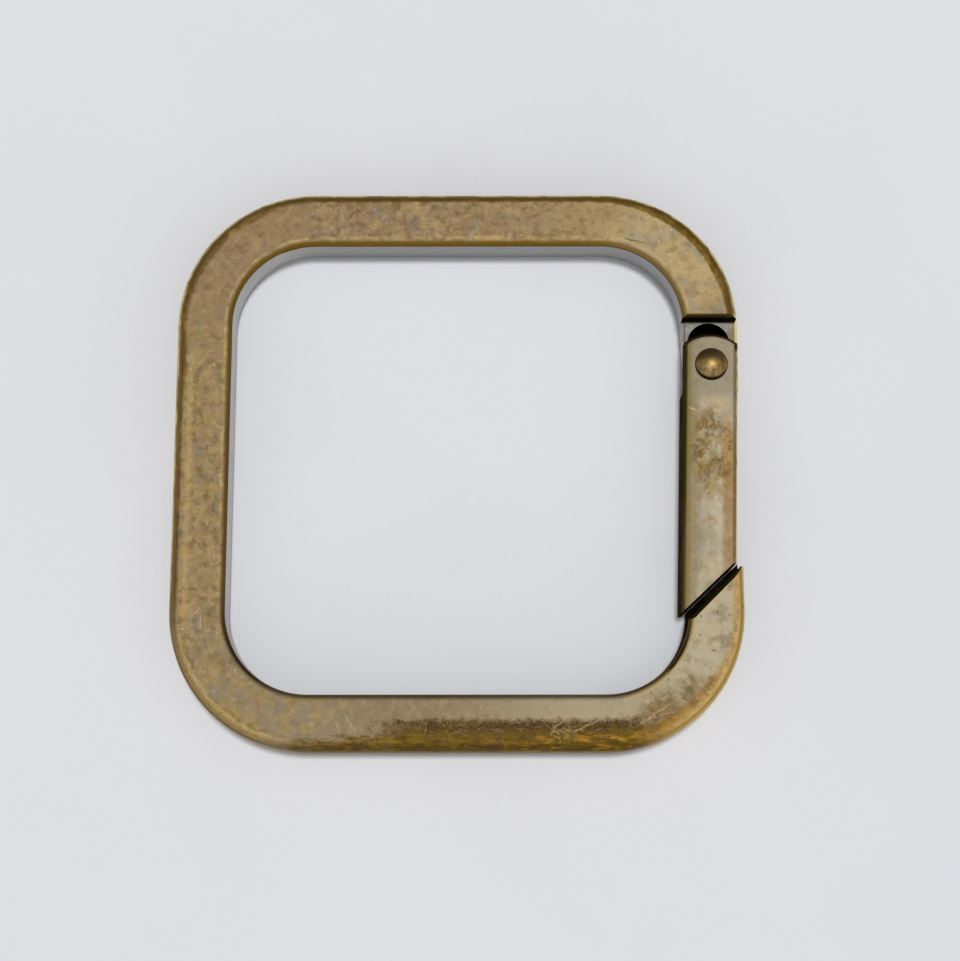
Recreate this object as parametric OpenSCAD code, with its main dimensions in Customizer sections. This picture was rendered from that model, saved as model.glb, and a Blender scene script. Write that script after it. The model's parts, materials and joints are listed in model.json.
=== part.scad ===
// Square spring ring: a cast square ring with round corners whose right side is a sprung gate.
// The ring lies flat, back face down. X runs to the gate, Y up the gate, Z out of the front face.
// The origin is the centre of the ring on the back face.

/* [Ring] */
// Clear width and height inside the ring
inside_w = 38; // [34:0.5:50]
// Width of the bar, seen from the front
bar_w = 4.6; // [4.5:0.1:5.5]
// Thickness of the bar, front to back
bar_t = 3.8; // [3.4:0.1:5]
// Radius of the inside corners
corner_r = 6.85; // [5:0.05:8]
// Rounding of the outer edges of the bar
outer_edge_r = 0.75; // [0.3:0.05:0.9]
// Rounding of the inner edges of the bar
inner_edge_r = 0.6; // [0.2:0.05:0.8]

/* [Nose] */
// Height of the nose above the lower corner, on its outer side
nose_h = 3.9; // [3:0.1:6]
// Rounding of the sharp tips of the nose and the gate, seen from the front
tip_r = 0.25; // [0.1:0.05:0.4]
// Bevel of the edges of the nose's slanted face
nose_bevel = 0.3; // [0.1:0.05:0.4]
// Height of the ledge on the slanted face that stops the gate
ledge_h = 1.2; // [0.6:0.1:2]
// Distance of the ledge's outer end from the ring's outer side
ledge_inset = 0.3; // [0.2:0.05:1]

/* [Tongue] */
// How far the step above the tongue sits into the upper corner
step_rise = 0.45; // [0.1:0.05:0.8]
// Rounding of the step's front edge
step_edge_r = 0.45; // [0.2:0.05:0.6]
// Distance from the step down to the rivet
pivot_drop = 4.1; // [3.8:0.1:5]
// Radius of the tongue's end about the rivet. From there its inner side runs up to the ring's
tongue_in = 2.1; // [2:0.05:2.2]
// Reach of the tongue from the rivet towards the outside of the ring
tongue_out = 2.45; // [2.2:0.05:2.7]
// Bevel of the tongue's outer lower corner
tongue_bevel = 0.3; // [0.1:0.05:0.6]
// Wall between the spring pocket and the inside of the ring
pocket_wall = 0.3; // [0.2:0.05:0.4]
// Wall between the spring pocket and the step
pocket_top_wall = 0.1; // [0.05:0.05:0.4]
// Floor left under the spring pocket
pocket_floor = 0.6; // [0.5:0.05:0.8]

/* [Gate] */
// Width of the gate, seen from the front
gate_w = 4.5; // [4.3:0.1:4.8]
// Rounding of the gate's outer edges
gate_edge_r = 0.45; // [0.2:0.05:0.7]
// Rounding of the gate's inner edges
gate_inner_r = 0.2; // [0.1:0.05:0.5]
// Bevel of the edges of the gate's slanted end
gate_bevel = 0.18; // [0.1:0.02:0.3]
// Thickness of the ear that lies over the tongue
ear_t = 1.5; // [1.2:0.05:1.6]
// Reach of the ear above the rivet
ear_top = 2.7; // [2.3:0.05:2.9]
// Radius of the ear's curved end
ear_arc_r = 3.6; // [3:0.1:5]
// Rounding of the ear's front edge
ear_edge_r = 0.4; // [0.2:0.05:0.6]
// Angle by which the gate stands inward of flush when it is shut
shut_angle = 1.8; // [1:0.1:2.5]

/* [Rivet] */
// Diameter of the shank
rivet_d = 1.5; // [1.2:0.05:1.7]
// Diameter of the domed head
head_d = 2.74; // [2.4:0.02:3.2]
// Height of the domed head
head_h = 0.75; // [0.4:0.05:1]
// Height of the upright rim under the dome
head_rim = 0.1; // [0.05:0.01:0.2]
// Diameter of the tail, spread flush with the back
tail_d = 2.1; // [1.8:0.05:2.4]
// Depth of the spread tail
tail_h = 0.4; // [0.2:0.05:0.45]

/* [Spring] */
// Diameter of the wire
wire_d = 0.3; // [0.2:0.02:0.34]
// Least space between the turns
turn_gap = 0.08; // [0.04:0.02:0.14]
// Length of the leg that lies along the pocket
fixed_leg = 2; // [1:0.1:2.2]
// Length of the other leg inside the gate
gate_leg = 0.9; // [0.5:0.1:1.5]

/* [Fits] */
// Gap between the slanted faces when the gate is flush
slant_gap = 0.06; // [0.05:0.01:0.3]
// Gap between the ledge and the shut gate
ledge_gap = 0.06; // [0.04:0.01:0.1]
// Gap between ear and tongue
lap_gap = 0.08; // [0.04:0.01:0.12]
// Gap between the tongue's end and the gate
stop_gap = 0.08; // [0.05:0.01:0.15]
// Radial clearance of the rivet in the ear, and under its head
rivet_gap = 0.05; // [0.02:0.01:0.08]
// Gap between the spring and the pocket
spring_gap = 0.06; // [0.04:0.01:0.1]
// Gap between the spring and the boss inside it
boss_gap = 0.12; // [0.08:0.01:0.2]
// Clearance round the spring leg in the gate
leg_gap = 0.08; // [0.05:0.01:0.1]

/* [Hidden] */
$fn = 96;

// Overshoot of cutters
cut = 1;

// Angle of the slanted faces, and how far their cutters reach in bar widths
slant_angle = 45;
slant_reach = 1.5;

// Distance of a rounded tip's centre from the bar's side, in tip radii
tip_inset = 0.7;

// Ring: inner and outer lines of the bars, and half the straight run between two corners
inner_x = inside_w / 2;
outer_x = inner_x + bar_w;
straight_h = inner_x - corner_r;

// Hinge: the rivet stands on the bar's centre line, below the step
step_y = straight_h + step_rise;
pivot = [inner_x + bar_w / 2, step_y - pivot_drop];
tongue_w = bar_w / 2 + tongue_out;
tongue_t = bar_t - ear_t - lap_gap;
rivet_r = rivet_d / 2;

// Spring pocket: a round ended channel, with a boss round the rivet
pocket_r = tongue_in - pocket_wall;
pocket_run = pivot_drop - pocket_top_wall - pocket_r;
pocket_depth = tongue_t - pocket_floor;

// Spring: as many whole turns as the pocket holds
wire_r = wire_d / 2;
coil_r = pocket_r - spring_gap - wire_r;
coil_rise = pocket_depth - 2 * spring_gap - wire_d;
turns = max(1, floor(coil_rise / (wire_d + turn_gap)));
coil_low = pocket_floor + spring_gap + wire_r;
coil_high = coil_low + coil_rise;
boss_r = coil_r - wire_r - boss_gap;
leg_hole_r = wire_r + leg_gap;
stop_reach = tongue_in + stop_gap;
gate_leg_end = stop_reach + gate_leg;

// Nose: the slanted plane meets the ring's outer side here
nose_y = nose_h - straight_h;

// Gate: where its slanted plane meets its outer side, from the rivet and before it is turned inward
gate_inner = -gate_w / 2;
gate_outer = gate_w / 2;
slant_offset = slant_gap / cos(slant_angle);
gate_slant_y = nose_y - pivot[1] + (pivot[0] + gate_outer - outer_x) * tan(slant_angle) + slant_offset;
gate_tip_y = gate_slant_y - gate_w * tan(slant_angle);

// Section of a bar: x from its inner to its outer side, y from back to front
module bar_section(w, inner_r, outer_r) {
    mid = w / 2;
    translate([inner_r, 0]) square([w - inner_r - outer_r, bar_t]);
    translate([0, inner_r]) square([mid, bar_t - 2 * inner_r]);
    translate([mid, outer_r]) square([mid, bar_t - 2 * outer_r]);
    for (y = [inner_r, bar_t - inner_r]) translate([inner_r, y]) circle(inner_r);
    for (y = [outer_r, bar_t - outer_r]) translate([w - outer_r, y]) circle(outer_r);
}

// Straight bar that runs down from y = top
module bar_run(x, top, length, w, inner_r, outer_r) {
    translate([x, top, 0])
        rotate([90, 0, 0])
            linear_extrude(length) bar_section(w, inner_r, outer_r);
}

// Bevel cutter along X for the edge at y = 0, z = 0 of a body that lies below and behind it
module edge_cutter(length, bevel) {
    rotate([90, 0, 90])
        linear_extrude(length, center = true)
            polygon([[-bevel - cut, cut], [cut, -bevel - cut], [cut, cut]]);
}

// Front and back bevel of a slanted face that crosses a bar of width w down from the point at
module slant_edges(at, w, bevel) {
    translate([at[0] - w / 2, at[1] - w / 2 * tan(slant_angle), bar_t / 2])
        rotate([0, 0, slant_angle])
            for (side = [0, 1])
                mirror([0, 0, side])
                    translate([0, 0, bar_t / 2])
                        edge_cutter(slant_reach * w / cos(slant_angle), bevel);
}

// Everything below a slanted line that crosses a bar of width w down from the point at.
// The sharp tip, which lies against the line x = at[0], is rounded off.
module below_slant(at, w, reach) {
    inset = tip_inset * tip_r;
    tip = [at[0] - inset, at[1] - inset * tan(slant_angle) - tip_r / cos(slant_angle)];
    touch = tip + tip_r * [-sin(slant_angle), cos(slant_angle)];
    run = slant_reach * w;
    foot_y = at[1] - run * tan(slant_angle);
    depth = bar_t + 2 * cut;
    translate([tip[0], tip[1], -cut]) cylinder(r = tip_r, h = depth);
    translate([0, 0, -cut])
        linear_extrude(depth)
            polygon([
                touch,
                tip,
                [at[0] + cut, tip[1]],
                [at[0] + cut, at[1] - reach],
                [at[0] - reach, at[1] - reach],
                [at[0] - reach, foot_y],
                [at[0] - run, foot_y]
            ]);
}

// One side of the ring and the corner that follows it, turned into place
module side_and_corner(turn) {
    rotate([0, 0, turn]) {
        bar_run(inner_x, straight_h, 2 * straight_h, bar_w, inner_edge_r, outer_edge_r);
        corner(0);
    }
}

// Corner of the ring, turned into place
module corner(turn) {
    rotate([0, 0, turn])
        translate([straight_h, straight_h, 0])
            rotate_extrude(angle = 90)
                translate([corner_r, 0]) bar_section(bar_w, inner_edge_r, outer_edge_r);
}

// Lower right corner with the nose above it
module nose() {
    difference() {
        intersection() {
            union() {
                corner(-90);
                bar_run(inner_x, nose_y, nose_h, bar_w, inner_edge_r, outer_edge_r);
            }
            below_slant([outer_x, nose_y], bar_w, outer_x);
        }
        slant_edges([outer_x, nose_y], bar_w, nose_bevel);
    }
}

// Ledge that fills the lower part of the gap between the slanted faces, short of the shut gate
module nose_ledge() {
    rise = tan(slant_angle);
    gate_foot = gate_slant_y - ledge_gap / cos(slant_angle);
    end_x = outer_x - ledge_inset;
    root_y = nose_y - nose_bevel;
    intersection() {
        translate(pivot)
            rotate([0, 0, -shut_angle])
                linear_extrude(inner_edge_r + ledge_h)
                    polygon([
                        [gate_outer + cut, gate_foot + cut * rise],
                        [gate_inner - cut, gate_foot - (gate_w + cut) * rise],
                        [gate_inner - cut, gate_tip_y - bar_w],
                        [gate_outer + cut, gate_tip_y - bar_w]
                    ]);
        translate([0, 0, inner_edge_r])
            linear_extrude(bar_t)
                polygon([
                    [end_x, root_y - ledge_inset * rise],
                    [end_x, root_y + bar_w],
                    [inner_x, root_y + bar_w - bar_w * rise],
                    [inner_x, root_y - bar_w * rise]
                ]);
    }
}

// Everything above the step, with the step's rounded front edge
module above_step() {
    reach = outer_x - step_y + cut;
    translate([straight_h - cut, step_y, 0])
        rotate([90, 0, 90])
            linear_extrude(corner_r + bar_w + 2 * cut) {
                translate([step_edge_r, -cut]) square([reach - step_edge_r, bar_t + cut]);
                translate([0, -cut]) square([reach, bar_t + cut - step_edge_r]);
                translate([step_edge_r, bar_t - step_edge_r]) circle(step_edge_r);
            }
}

// Upper right corner, ended by the step
module hinge_corner() {
    intersection() {
        corner(0);
        above_step();
    }
}

// Plan of the tongue from the rivet: square outside, round about the rivet inside,
// and flush with the ring's inner side at the step
module tongue_plan() {
    circle(tongue_in);
    polygon([
        [-tongue_in, 0],
        [tongue_out, 0],
        [tongue_out, pivot_drop],
        [-bar_w / 2, pivot_drop]
    ]);
    polygon([
        [0, 0],
        [0, -tongue_in],
        [tongue_out - tongue_bevel, -tongue_in],
        [tongue_out, tongue_bevel - tongue_in],
        [tongue_out, 0]
    ]);
}

// Plan of the spring pocket from the rivet, open at the tongue's end for the swinging leg
module pocket_plan() {
    circle(pocket_r);
    translate([0, pocket_run]) circle(pocket_r);
    translate([-pocket_r, 0]) square([2 * pocket_r, pocket_run]);
    translate([wire_r, -tongue_in - cut]) square([pocket_r - wire_r, tongue_in + cut]);
}

// Tongue with its pocket, boss and rivet bore
module tongue() {
    translate(pivot)
        difference() {
            intersection() {
                bar_run(-bar_w / 2, pivot_drop, pivot_drop + tongue_in, tongue_w, inner_edge_r, outer_edge_r);
                linear_extrude(tongue_t) tongue_plan();
            }
            difference() {
                translate([0, 0, pocket_floor]) linear_extrude(bar_t) pocket_plan();
                cylinder(r = boss_r, h = tongue_t);
            }
            translate([0, 0, -cut]) cylinder(r = rivet_r, h = bar_t);
            cylinder(r1 = tail_d / 2, r2 = rivet_r, h = tail_h);
        }
}

// Cast ring: three sides, four corners, the tongue, and the nose with its ledge
module ring_frame() {
    color("#94794b") {
        for (turn = [90, 180]) side_and_corner(turn);
        rotate([0, 0, 270]) bar_run(inner_x, straight_h, 2 * straight_h, bar_w, inner_edge_r, outer_edge_r);
        nose();
        nose_ledge();
        hinge_corner();
        tongue();
    }
}

// Ear's curved end with its rounded front edge, and the block below it
module ear_end(reach) {
    arc_y = ear_top - ear_arc_r;
    translate([0, arc_y, 0])
        rotate_extrude() {
            square([ear_arc_r - ear_edge_r, bar_t]);
            square([ear_arc_r, bar_t - ear_edge_r]);
            translate([ear_arc_r - ear_edge_r, bar_t - ear_edge_r]) circle(ear_edge_r);
        }
    translate([-gate_w, arc_y - reach, 0]) cube([2 * gate_w, reach, bar_t]);
}

// Solid gate bar from the rivet, flush with the ring, before the tongue's space is cut
module gate_bar() {
    top = ear_top + cut;
    length = top - gate_tip_y;
    difference() {
        intersection() {
            bar_run(gate_inner, top, length, gate_w, gate_inner_r, gate_edge_r);
            ear_end(2 * length);
            rotate([0, 0, 180]) below_slant([-gate_inner, -gate_tip_y], gate_w, 2 * length);
        }
        rotate([0, 0, 180]) slant_edges([-gate_inner, -gate_tip_y], gate_w, gate_bevel);
    }
}

// Sprung gate, turned inward by its shut angle
module gate() {
    color("#8f8468")
        translate(pivot)
            difference() {
                rotate([0, 0, -shut_angle]) gate_bar();
                translate([-2 * bar_w, -stop_reach, -cut])
                    cube([4 * bar_w, 4 * bar_w, cut + tongue_t + lap_gap]);
                cylinder(r = rivet_r + rivet_gap, h = bar_t + cut);
                rotate([0, 0, -shut_angle])
                    translate([coil_r, 0, coil_high])
                        rotate([90, 0, 0]) cylinder(r = leg_hole_r, h = gate_leg_end + leg_gap);
            }
}

// Rivet: spread tail, shank and domed head with an upright rim
module hinge_rivet() {
    head_z = bar_t + rivet_gap;
    dome_h = head_h - head_rim;
    dome_r = (pow(head_d / 2, 2) + pow(dome_h, 2)) / (2 * dome_h);
    color("#a8874c")
        translate(pivot) {
            cylinder(r1 = tail_d / 2, r2 = rivet_r, h = tail_h);
            cylinder(r = rivet_r, h = head_z);
            intersection() {
                translate([0, 0, head_z + head_h - dome_r]) sphere(dome_r);
                translate([0, 0, head_z]) cylinder(r = head_d / 2, h = head_h + cut);
            }
        }
}

// Turns a plan direction or point clockwise
function clockwise(p, a) = [p[0] * cos(a) + p[1] * sin(a), p[1] * cos(a) - p[0] * sin(a), p[2]];

// Centre line of the spring: leg up the pocket, clockwise coil that rises, leg down into the gate
steps = 20 * turns;
turned = 360 * turns + shut_angle;
coil_line = [
    for (i = [0:steps])
        clockwise([coil_r, 0, coil_low + coil_rise * i / steps], turned * i / steps)
];
spring_line = concat(
    [[coil_r, fixed_leg, coil_low]],
    coil_line,
    [clockwise([coil_r, -gate_leg_end, coil_high], turned)]
);

// Round tube along a line that is never upright
module tube(line, r, sides) {
    last = len(line) - 1;
    function unit(v) = v / norm(v);
    function along(i) = unit(line[min(i + 1, last)] - line[max(i - 1, 0)]);
    function across(i) = unit(cross(along(i), [0, 0, 1]));
    points = [
        for (i = [0:last], k = [0:sides - 1])
            let (a = 360 * k / sides)
            line[i] + r * (cos(a) * across(i) + sin(a) * cross(across(i), along(i)))
    ];
    skin = [
        for (i = [0:last - 1], k = [0:sides - 1], half = [0, 1])
            let (p = i * sides + k, q = i * sides + (k + 1) % sides)
            half == 0 ? [p, q, q + sides] : [p, q + sides, p + sides]
    ];
    first_end = [[for (k = [0:sides - 1]) sides - 1 - k]];
    last_end = [[for (k = [0:sides - 1]) last * sides + k]];
    polyhedron(points, concat(skin, first_end, last_end));
}

// Torsion spring round the boss
module torsion_spring() {
    color("#6e6a62")
        translate(pivot) tube(spring_line, wire_r, 8);
}

ring_frame();
gate();
hinge_rivet();
torsion_spring();
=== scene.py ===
# Square spring ring: antique brass finish, twisting spring, floor, light and camera.
# Named lengths are in millimetres, and MM turns them into metres.
import json
import math

import bmesh
import bpy
from mathutils import Euler, Matrix, Vector


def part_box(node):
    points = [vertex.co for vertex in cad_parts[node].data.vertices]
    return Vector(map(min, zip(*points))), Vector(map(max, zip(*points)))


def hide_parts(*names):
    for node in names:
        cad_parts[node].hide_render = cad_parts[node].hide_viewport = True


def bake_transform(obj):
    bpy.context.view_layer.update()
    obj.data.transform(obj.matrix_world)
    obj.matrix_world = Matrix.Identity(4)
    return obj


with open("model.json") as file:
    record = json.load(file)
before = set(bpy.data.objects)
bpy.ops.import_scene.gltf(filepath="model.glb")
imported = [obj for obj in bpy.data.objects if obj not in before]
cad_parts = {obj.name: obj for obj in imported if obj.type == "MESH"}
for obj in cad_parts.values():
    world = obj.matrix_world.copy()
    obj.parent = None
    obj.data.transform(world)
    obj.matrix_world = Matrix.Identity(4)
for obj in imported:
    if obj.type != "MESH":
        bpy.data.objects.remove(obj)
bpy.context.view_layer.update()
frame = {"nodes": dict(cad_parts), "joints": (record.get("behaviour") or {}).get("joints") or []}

MM = 0.001

# A length beyond every place in the part, and the x or y of a direction at 45 degrees
FAR = 1000
DIAGONAL = math.sqrt(0.5)

# Ring, as the part's source has it: half a side's straight run, inside corner radius, bar width
STRAIGHT_H = 12.15
CORNER_R = 6.85
BAR_W = 4.6

# Middle of a corner's face, and x minus y along the slanted end
CORNER_AT = 18.5
SLANT_LINE = 31.85

# Hinge: its axis, the step's place and the height where its dark edge begins, the tongue's
# thickness and edges, and the pocket
PIVOT = Vector(frame["joints"][0]["pos_m"]) / MM
STEP_Y = 12.6
STEP_EDGE_Z = 3.2
TONGUE_T = 2.22
PLATE_IN_X = 19.24
PLATE_OUT_X = 23.5
POCKET_R = 1.8
POCKET_FLOOR = 0.6

# Gate: the angle that it stands inward of flush, and its face's edges, measured from the axis
GATE_LEAN = math.radians(1.8)
GATE_INNER = -2.06
GATE_OUTER = 1.98

# Spring wire and the smoothness of its coil
WIRE_R = 0.15
SPRING_TURNS = 3
STEPS_PER_TURN = 48
WIRE_SIDES = 16

# Camera, fitted to the photograph's frame of 960 by 961 pixels: it is put at its place and then
# turned about the origin, by angles in degrees
IMAGE_SIDE = 961
FOCAL_PIXELS = 1800
SENSOR_WIDTH = 36
CAMERA_TURN = (11.02, 0.14, -0.06)
CAMERA_PLACE = (1.9, -0.65, 153.0)
CLIP_NEAR = 10
CLIP_FAR = 10000

# Light: strength of the sky overhead and low down, the heights between which it changes, how much
# brighter it is in front, and the lamp
SKY_TOP = 0.35
SKY_EDGE = 0.4
SKY_LOW = 0.25
SKY_HIGH = 0.9
SKY_TILT = 0.8
KEY_STRENGTH = 1.68
KEY_WIDTH = math.radians(9)
KEY_TURN = (math.radians(-5.6), math.radians(2.6), 0)

# Floor: its side, how far it lies below the part, and the size of its faint clouds
FLOOR_SIDE = 3000
FLOOR_DROP = 0.02
FLOOR_CLOUD = 30

# Roughness of the surfaces, share of metal in the bright rim of painted highlight, and depth of the relief
RING_ROUGH = 0.66
WALL_ROUGH = 0.3
GATE_ROUGH = 0.65
RIVET_ROUGH = 0.52
WIRE_ROUGH = 0.35
DULL_ROUGH = 0.9
RIM_METAL = 0.3
GLOSS = 0.5
RING_RELIEF = 0.015
GATE_RELIEF = 0.012
RIVET_RELIEF = 0.008
WIRE_RELIEF = 0.004


def tone(red, green, blue):
    """Linear colour of a tone that is given as it looks on a screen, from 0 to 255."""
    def linear(level):
        share = level / 255
        return share / 12.92 if share <= 0.04045 else ((share + 0.055) / 1.055) ** 2.4
    return (linear(red), linear(green), linear(blue), 1.0)


# Plating of the faces
TAN = tone(147, 125, 87)
OLIVE_TAN = tone(153, 135, 89)
ROSE = tone(153, 127, 98)
LIGHT_TAN = tone(166, 143, 101)
DIM_TAN = tone(136, 115, 83)
LILAC = tone(141, 128, 107)
HONEY = tone(184, 163, 118)
BEIGE = tone(164, 153, 126)
PALE_BEIGE = tone(180, 170, 145)
DULL_BEIGE = tone(140, 125, 97)
SALMON = tone(151, 122, 86)
GATE_GREY = tone(146, 138, 118)
PLATE_GREY = tone(142, 140, 130)
PALE_GOLD = tone(173, 152, 113)
SPECK = tone(112, 93, 66)
CREAM = tone(228, 206, 156)

# Edges, rubbed bright or left dark, with painted highlights and painted shade along the roundings
GOLD = tone(200, 172, 106)
BRIGHT_GOLD = tone(224, 194, 120)
TAN_GOLD = tone(170, 140, 86)
RIM_HIGHLIGHT = tone(216, 197, 132)
ORANGE_GOLD = tone(172, 131, 42)
AMBER = tone(152, 116, 40)
DARK_GOLD = tone(130, 102, 44)
OLIVE_GOLD = tone(113, 90, 32)
OLIVE = tone(140, 111, 32)
DULL_OLIVE = tone(124, 111, 62)
DEEP_OLIVE = tone(100, 78, 20)
DARK_OLIVE = tone(66, 57, 20)
PALE_BROWN = tone(136, 111, 74)
BROWN = tone(92, 74, 46)
STRIP_BROWN = tone(104, 79, 36)
DARK_BROWN = tone(74, 54, 26)
RED_BROWN = tone(98, 64, 40)

# Walls, with the grey of painted reflection, and painted shade for the dark places
WALL_GREY = tone(143, 141, 140)
PALE_WALL = tone(172, 170, 168)
DARK_WALL = tone(28, 23, 13)
GATE_WALL = tone(50, 43, 24)
SHADE_BROWN = tone(30, 24, 15)
SHADE_BLACK = tone(8, 7, 6)

# Spring and floor
STEEL = tone(62, 60, 56)
DARK_STEEL = tone(34, 31, 28)
FLOOR_PALE = tone(233, 234, 238)
FLOOR_SHADE = tone(231, 232, 236)

# Single scratches: tone, place, angle in degrees, length, width, strength
RING_SCRATCHES = (
    (PALE_BEIGE, (-8.6, -21.3), -62, 2.0, 0.1, 0.7),
    (PALE_BEIGE, (-9.6, -21.6), -70, 1.2, 0.08, 0.6),
    (CREAM, (-20.9, -13), 78, 1.2, 0.12, 0.4),
    (CREAM, (-21.2, -12.2), 60, 0.8, 0.1, 0.35),
    (BROWN, (15.1, 19.3), -16, 2.2, 0.09, 0.8),
)
GATE_SCRATCHES = (
    (CREAM, (19.6, 4.7), -25, 0.6, 0.14, 0.8),
    (CREAM, (21, -6.4), 28, 1.2, 0.08, 0.3),
)

# Two bundles of broken scratches at the lower right: place, angle in degrees, length, strength
BUNDLE_WIDTH = 0.15
BUNDLES = (
    ((10.6, -21.5), 25, 3.4, 0.75),
    ((8.2, -21.5), 30, 1.4, 0.6),
    ((8.6, -22.1), -20, 1.4, 0.6),
    ((7.8, -22.0), 60, 1.0, 0.5),
    ((9.4, -21.9), 5, 1.6, 0.55),
    ((11.2, -22.0), 20, 1.4, 0.4),
    ((15.2, -21.2), 28, 1.8, 0.75),
    ((16.0, -20.6), 32, 2.4, 0.75),
    ((17.2, -19.9), 30, 2.2, 0.75),
    ((17.0, -20.6), 10, 1.4, 0.6),
    ((15.6, -20.4), -15, 1.2, 0.5),
    ((18.2, -19.2), 40, 1.4, 0.5),
    ((16.4, -21.2), 40, 1.2, 0.5),
)


class Paint:
    """Node tree of one material. Places are in millimetres in the part's own frame.

    A mask is a number from 0 to 1. Cloudy patterns lie about 0.5, so a step from 0.4 to 0.6 covers
    about half of a face, in soft patches.
    """

    def __init__(self, name):
        self.material = bpy.data.materials.new(name)
        self.material.use_nodes = True
        self.tree = self.material.node_tree
        self.tree.nodes.clear()
        coords = self.add("ShaderNodeTexCoord")
        self.at = self.vector("SCALE", coords.outputs["Object"], scale=1 / MM)
        self.x, self.y, self.z = self.parts(self.at)
        self.normal = coords.outputs["Normal"]
        self.up = self.parts(self.normal)[2]
        self.crooked = None

    def add(self, kind, **settings):
        node = self.tree.nodes.new(kind)
        for name, value in settings.items():
            setattr(node, name, value)
        return node

    def feed(self, socket, value):
        if isinstance(value, bpy.types.NodeSocket):
            self.tree.links.new(value, socket)
        else:
            socket.default_value = value

    def math(self, operation, *values):
        node = self.add("ShaderNodeMath", operation=operation)
        for socket, value in zip(node.inputs, values):
            self.feed(socket, value)
        return node.outputs[0]

    def vector(self, operation, *values, scale=None):
        node = self.add("ShaderNodeVectorMath", operation=operation)
        for socket, value in zip(node.inputs, values):
            self.feed(socket, value)
        if scale is not None:
            self.feed(node.inputs["Scale"], scale)
        is_number = operation in ("LENGTH", "DISTANCE", "DOT_PRODUCT")
        return node.outputs["Value" if is_number else "Vector"]

    def parts(self, vector):
        node = self.add("ShaderNodeSeparateXYZ")
        self.feed(node.inputs[0], vector)
        return node.outputs

    def step(self, value, low, high):
        """0 at low, 1 at high, smooth between them."""
        node = self.add("ShaderNodeMapRange", interpolation_type="SMOOTHSTEP")
        for socket, number in zip(node.inputs, (value, low, high, 0.0, 1.0)):
            self.feed(socket, number)
        return node.outputs[0]

    def band(self, value, low, high, soft):
        """1 between low and high, with soft edges."""
        rise = self.step(value, low - soft, low + soft)
        fall = self.step(value, high + soft, high - soft)
        return self.math("MULTIPLY", rise, fall)

    def reach(self, place):
        """Distance from a place in plan."""
        plan = self.vector("MULTIPLY", self.at, (1, 1, 0))
        return self.vector("DISTANCE", plan, (*place, 0))

    def near(self, place, inner, outer):
        """1 within inner of a place in plan, 0 beyond outer."""
        return self.step(self.reach(place), outer, inner)

    def faces(self, direction, low, high):
        """1 where the surface faces a direction."""
        return self.step(self.vector("DOT_PRODUCT", self.normal, direction), low, high)

    def noise(self, size, detail=3.0, roughness=0.55, distortion=0.0, at=None, output="Fac"):
        """Cloudy pattern with features of about this size."""
        node = self.add("ShaderNodeTexNoise")
        self.feed(node.inputs["Vector"], self.at if at is None else at)
        self.feed(node.inputs["Scale"], 1 / size)
        self.feed(node.inputs["Detail"], detail)
        self.feed(node.inputs["Roughness"], roughness)
        self.feed(node.inputs["Distortion"], distortion)
        return node.outputs[output]

    def patches(self, size, low, high, detail=3.0, **settings):
        """Patches of about this size: 0 where a cloudy pattern is at low, 1 where it is at high."""
        return self.step(self.noise(size, detail=detail, **settings), low, high)

    def sway(self, size, amount, detail=4.0, roughness=0.55):
        """Number that wanders about 0, by up to half the amount either way."""
        return self.math("MULTIPLY_ADD", self.noise(size, detail, roughness), amount, -amount / 2)

    def bent(self, amount, size):
        """Places pushed about by a cloudy pattern, so that marks come out crooked."""
        push = self.vector("SUBTRACT", self.noise(size, output="Color"), (0.5, 0.5, 0.5))
        return self.vector("ADD", self.at, self.vector("SCALE", push, scale=amount))

    def strokes(self, spacing, length, width, share):
        """Short marks, each turned its own way: some share of the cells of this spacing holds one."""
        at = self.bent(0.8 * length, 0.5 * length)
        cells = self.add("ShaderNodeTexVoronoi", voronoi_dimensions="2D")
        self.feed(cells.inputs["Vector"], at)
        self.feed(cells.inputs["Scale"], 1 / spacing)
        chance, angle, _ = self.parts(cells.outputs["Color"])
        turned = self.add("ShaderNodeVectorRotate", rotation_type="Z_AXIS")
        self.feed(turned.inputs["Vector"], self.vector("SUBTRACT", at, cells.outputs["Position"]))
        self.feed(turned.inputs["Angle"], self.math("MULTIPLY", angle, math.pi))
        along, aside, _ = self.parts(self.vector("ABSOLUTE", turned.outputs[0]))
        stroke = self.product(
            self.step(along, 0.5 * length, 0.25 * length),
            self.step(aside, 0.5 * width, 0.2 * width),
        )
        return self.product(stroke, self.math("LESS_THAN", chance, share))

    def mark(self, place, angle, length, width):
        """One crooked scratch about a place in plan."""
        if self.crooked is None:
            self.crooked = self.bent(0.5, 0.6)
        turned = self.add("ShaderNodeVectorRotate", rotation_type="Z_AXIS")
        self.feed(turned.inputs["Vector"], self.vector("SUBTRACT", self.crooked, (*place, 0)))
        self.feed(turned.inputs["Angle"], -math.radians(angle))
        along, aside, _ = self.parts(self.vector("ABSOLUTE", turned.outputs[0]))
        return self.product(
            self.step(along, 0.5 * length, 0.35 * length),
            self.step(aside, 0.5 * width, 0.25 * width),
        )

    def product(self, *masks):
        """1 where all the masks are 1."""
        result = masks[0]
        for mask in masks[1:]:
            result = self.math("MULTIPLY", result, mask)
        return result

    def either(self, *masks):
        """1 where any of the masks is 1."""
        result = masks[0]
        for mask in masks[1:]:
            result = self.math("MAXIMUM", result, mask)
        return result

    def cover(self, under, over, *masks):
        """One coat of colour over another where all the masks are 1."""
        # The node's sockets for colours and for numbers have the same names, so they go by place
        node = self.add("ShaderNodeMix", data_type="RGBA")
        self.feed(node.inputs[0], self.product(*masks))
        self.feed(node.inputs[6], under)
        self.feed(node.inputs[7], over)
        return node.outputs[2]

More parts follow.
